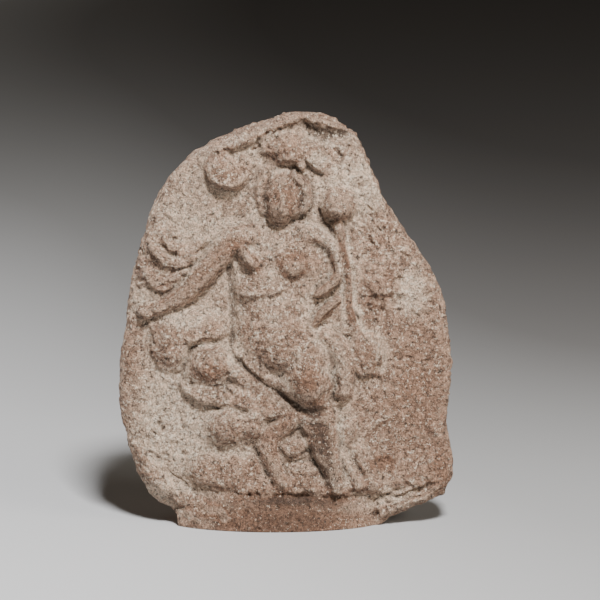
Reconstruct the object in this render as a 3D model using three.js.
// Moulded terracotta relief panel: a seated figure on rocks beside a staff, on a thick clay slab
// with a broken edge. The slab stands on a heavier foot. It is one piece of fired clay.
// Millimetres, +Z up. The relief faces -Y. The origin is on the floor under the foot, in the
// slab's middle plane.
import * as THREE from 'three';

// Driving dimensions
const PANEL_HEIGHT = 170;     // floor to the top of the broken edge
const PANEL_WIDTH = 138.2;    // widest reach, from left edge to right edge
const EDGE_THICKNESS = 10;    // slab at its broken edge
const EDGE_ROUND = 5.5;       // width of the rounded margin inside the edge
const FIELD_SWELL = 4.5;      // how far the front field stands forward of the edge
const BACK_SWELL = 4;         // how far the flat back stands behind the edge
const RELIEF_DEPTH = 12.6;    // the knee's rise over the field, the deepest of the carving
const FOOT_FRONT = 22;        // foot's reach in front of the slab's middle plane
const FOOT_BACK = 20;         // foot's reach behind it
const FOOT_HEIGHT = 13;       // height of the foot's front face
const FOOT_LENGTH = 92;       // length of the foot's bow
const FOOT_SHIFT = -6.5;      // how far the bow's middle stands to the right of the origin
const WEAR = 1.3;             // how far the worn surface is rounded off around each place

// The outline and the carving are drawn on a grid, and stretched to the panel's real size
const GRID_HEIGHT = 166.2;
const RELIEF_DROP = 1.6;      // how much lower the carving is set on the slab than it is drawn
const GRID_WIDTH = 134.4;
const GRID_DEPTH = 12.6;
const UP = PANEL_HEIGHT / GRID_HEIGHT;
const ACROSS = PANEL_WIDTH / GRID_WIDTH;
const OUT = RELIEF_DEPTH / GRID_DEPTH;

// The outline on the grid: [height, place across], from the floor to the top
const LEFT_EDGE = [
  [0, -45], [2.4, -45], [5, -45.4], [6.2, -48.2], [8.2, -52], [10, -54.8], [14.2, -58.2],
  [21.2, -61.4], [32.2, -64.8], [46.2, -67.5], [56.2, -68.8], [68.2, -67.8], [80.2, -65.6],
  [88.2, -65], [98.2, -63.3], [108.2, -60.8], [117.2, -58.3], [126.2, -55.5], [135.2, -51.8],
  [143.2, -46], [150.2, -38.5], [155, -30.5], [158.8, -21.5], [161.8, -13], [164.4, -6],
  [166.2, 0],
];
const RIGHT_EDGE = [
  [0, 36], [1.5, 38], [3, 41], [5.6, 47], [8.4, 54.5], [12.7, 62], [18.2, 65], [26.2, 65.6],
  [33.2, 64], [39.2, 62.8], [46.2, 63], [56.2, 64.2], [66.2, 64.6], [75.2, 63.6], [84.2, 62.2],
  [93.2, 60.8], [100.2, 58], [106.2, 54.4], [114.2, 49.2], [122.2, 43.2], [130.2, 38],
  [137.2, 34.8], [144.2, 32], [151.2, 29], [154.7, 27.5], [159.2, 24], [163.2, 18], [165.6, 12],
  [166.2, 9],
];
const FOOT_POINTS = 2;        // the outline's lowest points, which belong to the foot

// How finely the surface is divided: rows of points as [from, to, rows] on the grid, and columns
const ROW_ZONES = [[0, 18, 11], [18, 151, 53], [151, GRID_HEIGHT, 9]];
const FRONT_COLUMNS = 55;
const BACK_COLUMNS = 8;
const CROWDING = 0.3;         // how much closer the columns stand in the middle than at the sides

// Place of an edge at a height, by straight lines between its points
function edgeAt(chain, z) {
  const height = z / UP;
  for (let i = 1; i < chain.length; i++) {
    const [z0, x0] = chain[i - 1];
    const [z1, x1] = chain[i];
    if (height <= z1) return ACROSS * (x0 + (x1 - x0) * (height - z0) / (z1 - z0));
  }
  return ACROSS * chain[chain.length - 1][1];
}

// Higher of two heights, with a fillet where they meet
function smoothMax(a, b, fillet) {
  const overlap = Math.max(fillet - Math.abs(a - b), 0);
  return Math.max(a, b) + overlap * overlap / (4 * fillet);
}

// The hand's waver: a drawn shape is looked up a little off its place, by a slow and a quick wave
const SLOW_REACH = 0.8;
const SLOW_WAVE = 0.22;
const SLOW_BEND = 1.7;
const QUICK_REACH = 0.45;
const QUICK_WAVE = 0.6;
const QUICK_CROSS = 0.4;
function wave(along, beside) {
  const slow = Math.sin(SLOW_WAVE * along + SLOW_BEND * Math.sin(SLOW_WAVE / 2 * beside));
  const quick = Math.sin(QUICK_WAVE * along + QUICK_CROSS * beside);
  return SLOW_REACH * slow + QUICK_REACH * quick;
}

// The carving is a list of steps. Each takes the height so far at a place and gives the new one.
const carving = [];
let looseness = 0;            // how freely the next shapes are drawn: 0 is exact, 1 is rough rock
function addStep(step) {
  const amount = looseness;
  carving.push((height, x, z) => step(height, x + amount * wave(z, x), z + amount * wave(x, -z)));
}

// Closes a shape's height outside its edge, so that its neighbours win there
const OUTSIDE_SLOPE = 2;
function profile(share, rise, edge, radius) {
  if (share < 1) return rise * (1 - share ** edge);
  return (1 - share) * OUTSIDE_SLOPE * radius;
}

// A rounded boss: an ellipse with its crest moved off centre by shares of its radii.
// A higher edge number makes it flatter on top and steeper at its side.
function dome(x, z, rx, rz, rise, { turn = 0, crest = [0, 0], edge = 2, fillet = 1.5 } = {}) {
  const angle = THREE.MathUtils.degToRad(turn);
  const inside = 1 - crest[0] ** 2 - crest[1] ** 2;
  addStep((height, px, pz) => {
    const u = ((px - x) * Math.cos(angle) + (pz - z) * Math.sin(angle)) / rx - crest[0];
    const v = ((pz - z) * Math.cos(angle) - (px - x) * Math.sin(angle)) / rz - crest[1];
    const far = u * u + v * v;
    const lean = u * crest[0] + v * crest[1];
    const share = far / Math.max(Math.sqrt(lean * lean + far * inside) - lean, Number.EPSILON);
    return smoothMax(height, profile(share, rise, edge, Math.min(rx, rz)), fillet);
  });
}

// A soft swelling added to what is there
function swell(x, z, rx, rz, rise) {
  addStep((height, px, pz) => {
    const share = Math.max(1 - ((px - x) / rx) ** 2 - ((pz - z) / rz) ** 2, 0);
    return height + rise * share * share;
  });
}

// Stations along a smooth curve through the given ones
const STEPS_PER_SPAN = 4;
function smoothStations(stations) {
  const first = stations[0].map((v, k) => 2 * v - stations[1][k]);
  const last = stations.at(-1).map((v, k) => 2 * v - stations.at(-2)[k]);
  const all = [first, ...stations, last];
  const smooth = [stations[0]];
  for (let i = 1; i < stations.length; i++) {
    const [a, b, c, d] = all.slice(i - 1, i + 3);
    for (let j = 1; j <= STEPS_PER_SPAN; j++) {
      const t = j / STEPS_PER_SPAN;
      smooth.push(b.map((v, k) => 0.5 * (2 * v + (c[k] - a[k]) * t
        + (2 * a[k] - 5 * v + 4 * c[k] - d[k]) * t ** 2 + (3 * v - a[k] - 3 * c[k] + d[k]) * t ** 3)));
    }
  }
  return smooth;
}

// The nearest place on a line of stations [x, z, radius, rise]: its distance as a share of the
// radius there, its radius and rise, and whether the point is on the left of the line's run
function nearestOn(stations, px, pz) {
  let nearest = { share: Infinity };
  for (let i = 1; i < stations.length; i++) {
    const [x, z, r, rise = 0] = stations[i - 1];
    const [endX, endZ, endR, endRise = 0] = stations[i];
    const dx = endX - x;
    const dz = endZ - z;
    const t = THREE.MathUtils.clamp(((px - x) * dx + (pz - z) * dz) / (dx * dx + dz * dz), 0, 1);
    const radius = r + (endR - r) * t;
    const share = Math.hypot(px - x - t * dx, pz - z - t * dz) / radius;
    if (share < nearest.share) {
      const left = dx * (pz - z) > dz * (px - x);
      nearest = { share, radius, rise: rise + (endRise - rise) * t, left };
    }
  }
  return nearest;
}

// A tapering round limb or roll through stations [x, z, radius, rise]
function limb(stations, { edge = 2, fillet = 1.5 } = {}) {
  const smooth = smoothStations(stations);
  addStep((height, px, pz) => {
    const { share, radius, rise } = nearestOn(smooth, px, pz);
    return smoothMax(height, profile(share, rise, edge, radius), fillet);
  });
}

// A soft groove of a given depth along stations [x, z, radius]
function groove(depth, ...stations) {
  const smooth = smoothStations(stations);
  addStep((height, px, pz) => {
    const share = Math.max(1 - nearestOn(smooth, px, pz).share ** 2, 0);
    return height - depth * share * share;
  });
}

// An overlap: on the left of the line's run the surface rises slowly over a reach, up to a line
// through stations [x, z, rise], and on the right it drops
function lap(reach, stations, drop = 0.8) {
  const smooth = smoothStations(stations.map(([x, z, rise]) => [x, z, reach, rise]));
  addStep((height, px, pz) => {
    const { share, rise, left } = nearestOn(smooth, px, pz);
    const away = left ? share : share * reach / drop;
    return height + rise * Math.max(1 - away, 0) ** 2;
  });
}

// The ground of the relief, which swells under the rocks, the figure and the right field
function carveGround() {
  swell(-13, 42, 56, 50, 3.2);
  swell(-4, 98, 44, 60, 2.6);
  swell(34, 90, 30, 44, 1);
}

// The rocks that the figure sits on, from the top down, and where they overlap
function carveRocks() {
  dome(-38, 83.5, 18, 8.5, 5.4, { turn: 2, crest: [0.1, -0.3], edge: 3 });
  dome(-47.5, 75.5, 8, 11, 5.4, { turn: 8, crest: [0.2, 0.3], edge: 3 });
  dome(-31.5, 67.6, 11.4, 10.4, 9, { turn: -14, crest: [0.05, 0.25], edge: 2.8 });
  limb([[-26, 71, 7.4, 6.8], [-20, 65.5, 6.8, 7], [-13.5, 59.5, 6.4, 6.8], [-7.5, 53.5, 5.4, 6.4],
    [-3, 49, 4, 6]], { edge: 2.4, fillet: 4 });
  limb([[-43, 61, 1.8, 2.6], [-39.4, 57.4, 2.8, 4.4], [-33.6, 55.6, 3.6, 5.6],
    [-26.6, 56, 4.2, 6.2], [-19.6, 55, 4.8, 6.6], [-12.6, 51.6, 4.6, 6.6],
    [-7, 49, 3.4, 6.2]], { edge: 3, fillet: 4 });
  dome(-22.6, 58.8, 4.4, 3, 7.6, { turn: -20, crest: [0, 0.3], fillet: 3 });
  dome(-24, 43.4, 13.4, 11, 8.6, { turn: -4, crest: [0, 0.3], edge: 2.2 });
  dome(-15, 43, 8, 9, 7.4, { crest: [0, 0.3], edge: 2.6 });
  dome(-27, 24.6, 15.6, 8.6, 5.4, { crest: [0, 0.3], edge: 6 });
  dome(-15, 25, 7, 8, 5, { turn: 25, crest: [0, 0.3], edge: 4 });
  limb([[-1, 33.6, 3.2, 5.2], [2.6, 34.8, 3.6, 5.4], [6.4, 36.6, 3.4, 5.2]], { edge: 6 });
  dome(5.8, 24.5, 9, 4.8, 5.6, { turn: 4, crest: [0, 0.2], edge: 4, fillet: 2.5 });
  lap(5, [[-42, 66.5, 0.3], [-41, 63.6, 1.4], [-38.6, 60.8, 2.2], [-35, 58.8, 2.4],
    [-30.6, 58.6, 2], [-26, 60.4, 0.8]], 2.4);
  lap(4, [[-42.6, 59.4, 0.3], [-41, 56.6, 1.2], [-37.6, 54.2, 1.8], [-33, 52.4, 1.8],
    [-27, 52, 1.6], [-21, 51.6, 1.6], [-16.6, 49.6, 2], [-11.6, 47, 2], [-7.6, 46.2, 0.8]], 1.6);
  groove(1.3, [-31, 51.4, 0.9], [-24, 51.4, 1.2], [-17, 49.4, 1.3], [-11, 47.4, 1]);
  lap(4, [[-43, 80.4, 0.4], [-39.6, 78.2, 1.2], [-35, 78.8, 1.2], [-30, 79.6, 0.4]]);
  lap(3, [[-57, 86, 0.4], [-54.6, 82, 1.2], [-55.4, 76, 1.2], [-54, 70, 1.4], [-50.6, 66, 1.2],
    [-44, 65.8, 0.6]], 1.4);
  lap(4, [[-2.6, 30, 0.5], [1, 29.8, 1.6], [4, 30.4, 1.6], [7.4, 31.6, 0.5]]);
  lap(3, [[-2.6, 21.8, 0.4], [0.6, 20.8, 1], [4.6, 19.6, 1], [8, 19.2, 0.4]]);
}

// The ledge under the feet, and the slab's turned-up rim, low on the left and on the right
function carveLedgeAndRim() {
  limb([[-30, 19, 4, 3], [-15, 20, 5, 4.2], [5, 20, 5, 4.8], [22, 19, 5, 4.4],
    [34, 18, 4, 2.6]], { edge: 3, fillet: 2 });
  lap(9, [[-33, 11.4, 0.6], [-26, 13.4, 1.8], [-16, 14.8, 2.8], [-5, 15.3, 3.2], [3, 15.2, 3.6],
    [10, 14.8, 3.6], [16, 13.4, 3], [24, 12, 1.8], [33, 11, 0.6]], 4);
  limb([[-62, 33, 4, 1], [-56, 23, 5, 2.4], [-49, 17.2, 5, 3.4], [-41, 12.8, 4.8, 4],
    [-33, 9.6, 4.4, 4.4], [-27, 8, 4, 4.4]]);
  limb([[63, 21, 3, 1], [57, 14.4, 3.4, 2], [49, 11.2, 3.6, 2.6], [42, 8.8, 3.6, 3],
    [37, 7.4, 3, 2.6]]);
  groove(1.9, [34, 11, 0.8], [37, 12.6, 1.1], [40, 14.4, 1.2], [45, 13.6, 1.1], [50, 15.3, 1.1],
    [54, 16.8, 1.5], [58, 18.2, 0.8]);
}

// The cloth that swings from the wrist to the shoulder, in three folds
function carveSwag() {
  swell(-47, 108, 15, 22, 1.8);
  limb([[-51.4, 122, 1.8, 1.2], [-48.6, 118, 2.4, 2.4], [-43.6, 115.4, 2.6, 3],
    [-38.4, 115, 2.6, 3.2], [-33, 118.4, 2.4, 3]]);
  limb([[-56, 119, 1.8, 1.4], [-52.8, 113.4, 2.4, 2.8], [-47.6, 110.2, 2.6, 3.4],
    [-41.4, 110.2, 2.6, 3.6], [-36, 112.4, 2.4, 3.6]]);
  limb([[-58.6, 109, 2, 1.2], [-56, 104, 2.6, 2.4], [-51.6, 101.8, 2.8, 3.2],
    [-46, 103.2, 2.8, 3.6], [-41, 105.4, 2.6, 4]]);
  lap(4, [[-50.6, 121, 0.4], [-48.6, 116.6, 1.4], [-46.4, 114, 1.8], [-43.5, 112.6, 2],
    [-39.1, 112.4, 2], [-35.5, 115, 2], [-31.8, 117.7, 0.8]]);
  lap(4, [[-56, 119, 0.4], [-54.4, 114.2, 1.4], [-52.2, 111, 2], [-49.3, 108.2, 2.3],
    [-45.6, 107.2, 2.3], [-41.3, 108, 2], [-36.9, 109.5, 1.2]]);
  lap(5, [[-58, 107, 0.4], [-56, 101.5, 1.4], [-53, 98.6, 1.9], [-49.3, 98.6, 2],
    [-45.6, 100.6, 1]], 1.5);
  groove(1.2, [-50, 128.6, 0.9], [-47.6, 126.4, 1.3], [-45.6, 125, 0.9]);
  groove(1.3, [-48.4, 121.4, 0.9], [-46.6, 119.4, 1.2], [-44.6, 119, 0.8]);
}

function carveTorso() {
  dome(-2, 112, 21.5, 14.5, 6, { turn: -4, edge: 3, fillet: 3 });
  dome(-5.6, 98, 16.4, 13, 6.2, { edge: 3.6, fillet: 3 });
  dome(-5, 86, 16.4, 14, 7.8, { crest: [0.1, 0], edge: 3, fillet: 3 });
  dome(-8.4, 76.5, 15, 10.8, 8.4, { turn: -40, crest: [0.1, 0.2], edge: 2.4, fillet: 4 });
  dome(-4.8, 71.4, 6.4, 6.8, 8.6, { fillet: 6 });
  dome(4, 79, 15, 10, 8.2, { turn: -35, edge: 2.6, fillet: 4 });
  limb([[-19.6, 117, 3.4, 6.6], [-17, 112.6, 4, 7.4],
    [-14, 109, 3.4, 7.6]], { edge: 2.2, fillet: 3 });
  dome(1, 109.8, 8.8, 8.2, 9.8, { crest: [0, -0.2], edge: 2.4, fillet: 3 });
  lap(6, [[-23.4, 118, 0.5], [-21, 113, 1.1], [-18.4, 109.6, 1.3], [-15.4, 106.8, 1.4],
    [-13.2, 106.2, 1], [-11.4, 107.4, 0.4]], 1.8);
  lap(8, [[-22, 98.4, 0.3], [-19.6, 97, 1.4], [-15, 96.6, 2], [-9, 97.2, 2.2], [-4, 98.8, 1.9],
    [1, 100.8, 0.6]], 1.6);
}

// The left arm reaches out and down, and the right arm is bent, with its hand on the hip
function carveArms() {
  limb([[-15, 121, 5.6, 6], [-22.2, 118.4, 6, 6.6], [-27.5, 112.6, 6, 7.4], [-33.3, 106.4, 6, 7.6],
    [-37.8, 101, 5.6, 7.2], [-42.2, 96.4, 4.8, 6.2], [-47.8, 92.8, 3.8, 5.2],
    [-53.6, 90.8, 3.4, 4.6], [-58, 89.8, 3, 3.8]], { edge: 2.4 });
  dome(-57.4, 89.4, 3.4, 3.2, 5.2, { edge: 3 });
  limb([[5, 122, 5.4, 6.4], [12, 120.4, 4.8, 6.6], [16.8, 115.8, 3.8, 6], [19, 110, 3, 5.8],
    [19, 105.8, 2.6, 6], [17.4, 102.2, 2.6, 6.4], [14.2, 99, 2.4, 6.8], [11.6, 97.2, 2, 6.8],
    [10, 96.6, 1.4, 6]], { edge: 2.4, fillet: 1.6 });
  lap(4, [[12, 95.6, 0.3], [14.2, 96.8, 0.7], [17.2, 99.6, 0.9], [19.2, 102.6, 0.8],
    [20.2, 105.4, 0.3]]);
}

// The far calf, then the near thigh with its knee, and the near shin
function carveLegs() {
  limb([[5, 48.6, 4.8, 6], [-1, 44.6, 5, 6], [-6.6, 39.6, 5.4, 6.4], [-8.6, 33, 5, 6.8],
    [-6, 25.8, 4.2, 7], [-3, 19.4, 3, 7]], { edge: 2.6, fillet: 4 });
  limb([[-3, 80, 8, 8.8], [2.4, 74, 10.4, 10.6], [6.6, 67, 11.2, 11.8],
    [9.2, 60, 9.6, GRID_DEPTH]], { edge: 2.6, fillet: 8 });
  limb([[9.8, 52, 8, 8.4], [11, 45.4, 8.4, 8], [12.8, 39.6, 7.8, 8], [14.4, 33.6, 6.6, 8],
    [16.4, 28, 5.6, 8], [17.8, 22, 4.4, 8], [18.4, 18, 3.4, 8]], { edge: 3, fillet: 3 });
}

// The hair with a lock on each side, and the face
function carveHead() {
  dome(-1.6, 136.4, 10.2, 11.6, 8.6, { edge: 2.3, fillet: 1 });
  limb([[-9.8, 145.4, 2.4, 4], [-11.4, 140, 2.4, 3.8], [-11.6, 134, 2.4, 3.6],
    [-10.4, 130, 2, 3.4]], { fillet: 2 });
  dome(-3.4, 133, 6.8, 10.4, 10.8, { turn: -6, crest: [0, -0.15], edge: 2.2, fillet: 2 });
  limb([[2, 144.4, 2.6, 8.8], [5.4, 140.6, 2.8, 8.4], [6.2, 135.4, 2.6, 7],
    [5, 131, 2.4, 6]], { fillet: 4 });
}

// The cloth over the head, and its end at the left
function carveCanopy() {
  dome(0, 155.2, 11, 7.4, 5, { crest: [0.1, -0.1], edge: 2.4, fillet: 4 });
  dome(5, 148.6, 1.8, 2.4, 6, { turn: 20, edge: 2.6 });
  lap(7, [[-10, 147.4, 0.1], [-6.4, 147.6, 0.4], [-4, 149, 0.7], [-1, 150.8, 1], [2, 150.4, 1.5],
    [4.4, 148, 1.6], [6.2, 145.2, 0.9]], 1.2);
  lap(6, [[5.8, 151.4, 0.6], [7.8, 149.8, 2.2], [9.8, 147.6, 2.6], [12, 145.8, 1.8],
    [14.8, 144.8, 0.5]], 2);
  groove(1.8, [6.2, 150.6, 0.9], [8.2, 148, 1.5], [10.4, 145.6, 1.4], [13.2, 144.6, 0.9]);
  dome(-24.5, 146.8, 9.4, 9, 4.6, { crest: [-0.1, -0.4], edge: 4, fillet: 2 });
  lap(9, [[-33, 145, 0.5], [-31.4, 142, 1.6], [-28.6, 140.4, 2.4], [-25, 139.9, 2.6],
    [-21.4, 140.9, 2.4], [-18.4, 143, 1.6], [-15.6, 145.8, 0.5]], 1.8);
  groove(1.6, [-28, 157, 1.6], [-25.4, 154.6, 2.2], [-22, 152.6, 2], [-20.6, 150, 1.4]);
}

// The ridge that was pinched up along the top edge, and the scoop under a lip at its right
function carveTopEdge() {
  limb([[-30, 155, 2.4, 3], [-26, 157, 3.4, 4.6], [-20, 159.4, 4, 5.4], [-12, 162.6, 3.8, 5.4],
    [-5, 166.4, 3.2, 5], [2, 168, 2.8, 4.4]]);
  lap(5, [[-29, 155.4, 0.6], [-25.6, 153.6, 2], [-20, 155.2, 1.8], [-15, 156.2, 2.4],
    [-11, 158.8, 1.8], [-7, 161.8, 1.4], [-3, 164.6, 2.2], [2.4, 165.2, 1.8],
    [5, 166.4, 0.6]], 1.8);
  groove(3.8, [5, 164.6, 2.6], [9, 161.6, 4.8], [13.4, 160, 5.8], [18, 160, 5], [22, 160, 2.8]);
  lap(4, [[5, 168.4, 0.4], [8.6, 166.8, 1], [12, 165, 1.4], [16, 164, 1.4], [20, 163, 1.2],
    [24.4, 161.4, 0.5]], 4);
}

// The staff with its round head
function carveStaff() {
  dome(19.4, 133.2, 7.4, 7.8, 8.2, { crest: [-0.1, -0.2], edge: 2.4, fillet: 3 });
  groove(2.2, [11.4, 130.4, 1], [12.4, 126.4, 1.8], [14.6, 122.8, 2.2], [17, 120.4, 1.4]);
  limb([[19, 124.6, 2.4, 3.8], [20.8, 116, 2, 3.2], [22, 109, 2, 2.9], [22.8, 102, 2, 2.9],
    [23.4, 95, 2, 2.8], [24.6, 88, 2, 2.6], [26.4, 82, 2, 2]], { edge: 4, fillet: 1 });
}

// The cloth behind the elbow, the hip and the knee
function carveDrape() {
  swell(15, 90, 9, 9, 1.4);
  limb([[10, 85, 2, 6.4], [12.4, 89, 2.4, 7.2], [16, 92.4, 2.4, 7],
    [19.4, 94.2, 1.8, 5.6]], { edge: 2.4 });
  lap(3, [[11.4, 83.4, 0.5], [13.8, 86.8, 1.4], [17.4, 90, 1.4], [20.6, 92, 0.5]]);
  dome(29.6, 72.4, 8.2, 10.4, 4.8, { turn: -18, crest: [0.3, 0], edge: 3.5 });
  lap(4, [[35.4, 64, 0.3], [37, 69, 0.9], [36, 74, 0.9], [32, 78.4, 0.8], [29, 80.8, 0.3]]);
  lap(4, [[25.4, 65, 0.6], [28.8, 63.4, 1.6], [31, 63, 1.6], [33, 64, 1.6], [36.4, 63.4, 0.6]]);
  limb([[14, 81, 4, 6], [18.4, 75.6, 4.6, 7.2], [21, 69, 4.8, 7.8], [21.8, 62, 4.4, 7.6],
    [21, 57, 3.6, 6.6]], { edge: 2.6, fillet: 4 });
  lap(4, [[15, 53, 0.4], [18, 51.6, 1.6], [21.4, 52.4, 1.8], [25, 56.4, 0.8]], 1.4);
  groove(0.9, [17.6, 82.4, 1.4], [20, 80, 1.8], [24, 79, 1.4]);
}

// The low rocks and leaves to the right of the feet, and a low lump on the field above
function carveRightGround() {
  dome(22.8, 40.4, 4.4, 6.2, 4.4, { turn: -8, crest: [-0.2, 0.3], edge: 5 });
  lap(4, [[20.6, 35.4, 0.5], [23.6, 34.6, 1.4], [27.6, 34.2, 0.4]]);
  limb([[21.5, 33, 2.4, 4.4], [23, 28, 3.2, 5.2], [25, 22.6, 3.6, 5.8],
    [27.4, 18.5, 3.4, 5.6]], { fillet: 3 });
  limb([[27, 32.5, 2.6, 3.2], [29.6, 26.5, 3.2, 4], [31.8, 21, 3.2, 4.4],
    [33, 17.5, 2.8, 4.2]], { fillet: 3 });
  limb([[30.6, 40, 1.8, 1.2], [36, 44.4, 2, 1.8], [43, 48, 1.8, 1.2]]);
  groove(0.9, [33.6, 28, 2], [37, 27.4, 2.8], [40.6, 28, 2]);
  dome(16.8, 48.4, 2.4, 2.6, 4, { edge: 3 });
  swell(36, 101, 11, 9, 1.8);
  lap(6, [[45, 108, 0.3], [38.6, 109.2, 1], [35, 109.7, 1.6], [33.2, 111, 1.6], [31, 108.6, 1.8],
    [29.4, 105.6, 0.6]], 1);
  lap(5, [[33, 98.4, 0.4], [37, 96.6, 1.6], [42, 97, 1.6], [46, 95.4, 0.5]]);
}

// The creases of the body, from the chest down to the near shin
function carveCreases() {
  groove(2.2, [-24.4, 108, 1.8], [-23.4, 102, 2.4], [-23, 94, 2.8], [-23, 84, 2.8], [-23, 77, 2.2]);
  lap(8, [[-23, 77, 0.6], [-20, 72.6, 2], [-15.4, 68, 2.6], [-10, 64, 3], [-5.4, 61, 3],
    [-1.4, 58, 2.6], [2.4, 55, 1.8], [5, 53, 0.5]], 3.4);
  groove(2.4, [-24, 77, 1], [-21.6, 71.6, 1.2], [-17.4, 67.4, 1.4], [-13.4, 63, 1.6], [-9, 59, 1.9],
    [-4, 55.8, 2.2], [0, 53, 1.4]);
  groove(2.2, [2, 52.6, 2.4], [8, 49.4, 3], [14, 50, 2.4]);
  groove(0.7, [2.6, 48, 1.3], [4, 42, 1.4], [6.6, 36.6, 1.4], [9.4, 31, 1.3], [11.6, 26, 1.3],
    [14.6, 19.6, 1.1]);
  groove(0.9, [-14.4, 35, 1], [-12.4, 29, 1.2], [-9.4, 23.4, 1.2], [-6.6, 18.6, 1]);
}

// Each group of shapes, with how loosely it is drawn
const GROUPS = [
  [0, carveGround], [0.7, carveRocks], [0.7, carveLedgeAndRim], [0.35, carveSwag],
  [0.3, carveTorso], [0.3, carveArms], [0.3, carveLegs], [0.3, carveHead], [0.5, carveCanopy],
  [0.5, carveTopEdge], [0.4, carveStaff], [0.4, carveDrape], [0.6, carveRightGround],
  [0.3, carveCreases],
];
for (const [amount, carve] of GROUPS) {
  looseness = amount;
  carve();
}

// The broken edge above the foot, as a line of places [x, z, 1] on the panel
const brokenEdge = [...LEFT_EDGE.slice(FOOT_POINTS), ...RIGHT_EDGE.slice(FOOT_POINTS).reverse()]
  .map(([z, x]) => [x * ACROSS, z * UP, 1]);

// 0 at the broken edge, rising in a quarter round to 1 inside the margin
function margin(x, z) {
  const share = Math.min(nearestOn(brokenEdge, x, z).share / EDGE_ROUND, 1);
  return Math.sqrt(1 - (1 - share) ** 2);
}

// The foot is a bow in plan. It leans back as it rises, and ends inside the slab.
const FOOT_LEAN = 0.35;
const FOOT_FILLET = 1;
function footReach(x, z, reach) {
  const along = Math.min(Math.abs(x - FOOT_SHIFT) / (FOOT_LENGTH / 2), 1);
  const up = z / FOOT_HEIGHT;
  return up < 2 ? reach * Math.sqrt(1 - along ** 2) * (1 - FOOT_LEAN * up ** 2) : 0;
}

// Height of the worn carving over the field: the mean of the fresh one around the place
const WEAR_WEIGHTS = [[-1, 0.25], [0, 0.5], [1, 0.25]];
function reliefAt(x, z) {
  let sum = 0;
  for (const [i, across] of WEAR_WEIGHTS) {
    for (const [j, up] of WEAR_WEIGHTS) {
      const [gridX, gridZ] = [(x + i * WEAR) / ACROSS, (z + j * WEAR) / UP + RELIEF_DROP];
      sum += across * up * carving.reduce((height, step) => step(height, gridX, gridZ), 0);
    }
  }
  return OUT * sum;
}

function frontAt(x, z) {
  const field = EDGE_THICKNESS / 2 + (FIELD_SWELL + reliefAt(x, z)) * margin(x, z);
  return smoothMax(field, footReach(x, z, FOOT_FRONT), FOOT_FILLET);
}

function backAt(x, z) {
  const field = EDGE_THICKNESS / 2 + BACK_SWELL * margin(x, z);
  return smoothMax(field, footReach(x, z, FOOT_BACK), FOOT_FILLET);
}

// Heights of the rows of points
function rowHeights() {
  const heights = [ROW_ZONES[0][0]];
  for (const [from, to, rows] of ROW_ZONES) {
    for (let i = 1; i <= rows; i++) heights.push(UP * (from + (to - from) * i / rows));
  }
  return heights;
}

// Place of a column between the edges, as a share of the width there
function columnShare(i, columns) {
  const share = i / columns;
  return share + CROWDING * Math.sin(2 * Math.PI * share) / (2 * Math.PI);
}

// One level section of the slab: a closed loop of points, along the front and then along the back
function section(z) {
  const left = edgeAt(LEFT_EDGE, z);
  const width = edgeAt(RIGHT_EDGE, z) - left;
  const loop = [];
  for (let i = 0; i <= FRONT_COLUMNS; i++) {
    const x = left + width * columnShare(i, FRONT_COLUMNS);
    loop.push([x, -frontAt(x, z), z]);
  }
  for (let i = BACK_COLUMNS; i >= 0; i--) {
    const x = left + width * columnShare(i, BACK_COLUMNS);
    loop.push([x, backAt(x, z), z]);
  }
  return loop;
}

// Stacks the sections into one closed solid. Each patch of four points is parted along the
// diagonal that follows the surface more closely.
function panelGeometry() {
  const sections = rowHeights().map(section);
  const count = sections[0].length;
  const triangles = [];
  for (let row = 1; row < sections.length; row++) {
    const [below, above] = [sections[row - 1], sections[row]];
    for (let i = 0; i < count; i++) {
      const next = (i + 1) % count;
      const low = [(row - 1) * count + i, (row - 1) * count + next];
      const high = [row * count + i, row * count + next];
      const rising = Math.abs(below[i][1] - above[next][1]);
      const falling = Math.abs(below[next][1] - above[i][1]);
      if (rising < falling) triangles.push(low[0], low[1], high[1], low[0], high[1], high[0]);
      else triangles.push(low[0], low[1], high[0], low[1], high[1], high[0]);
    }
  }
  for (const row of [0, sections.length - 1]) {
    const flat = sections[row].map(([x, y]) => new THREE.Vector2(x, y));
    for (const [a, b, c] of THREE.ShapeUtils.triangulateShape(flat, [])) {
      const face = row === 0 ? [a, c, b] : [a, b, c];
      triangles.push(...face.map((i) => row * count + i));
    }
  }
  const geometry = new THREE.BufferGeometry();
  geometry.setAttribute('position', new THREE.Float32BufferAttribute(sections.flat(2), 3));
  geometry.setIndex(triangles);
  geometry.computeVertexNormals();
  return geometry;
}

const terracotta = new THREE.MeshStandardMaterial({ color: 0x9c8272, roughness: 0.9, metalness: 0 });

const panel = new THREE.Mesh(panelGeometry(), terracotta);
panel.name = 'relief_panel';

const group = new THREE.Group();
group.add(panel);
export default group;
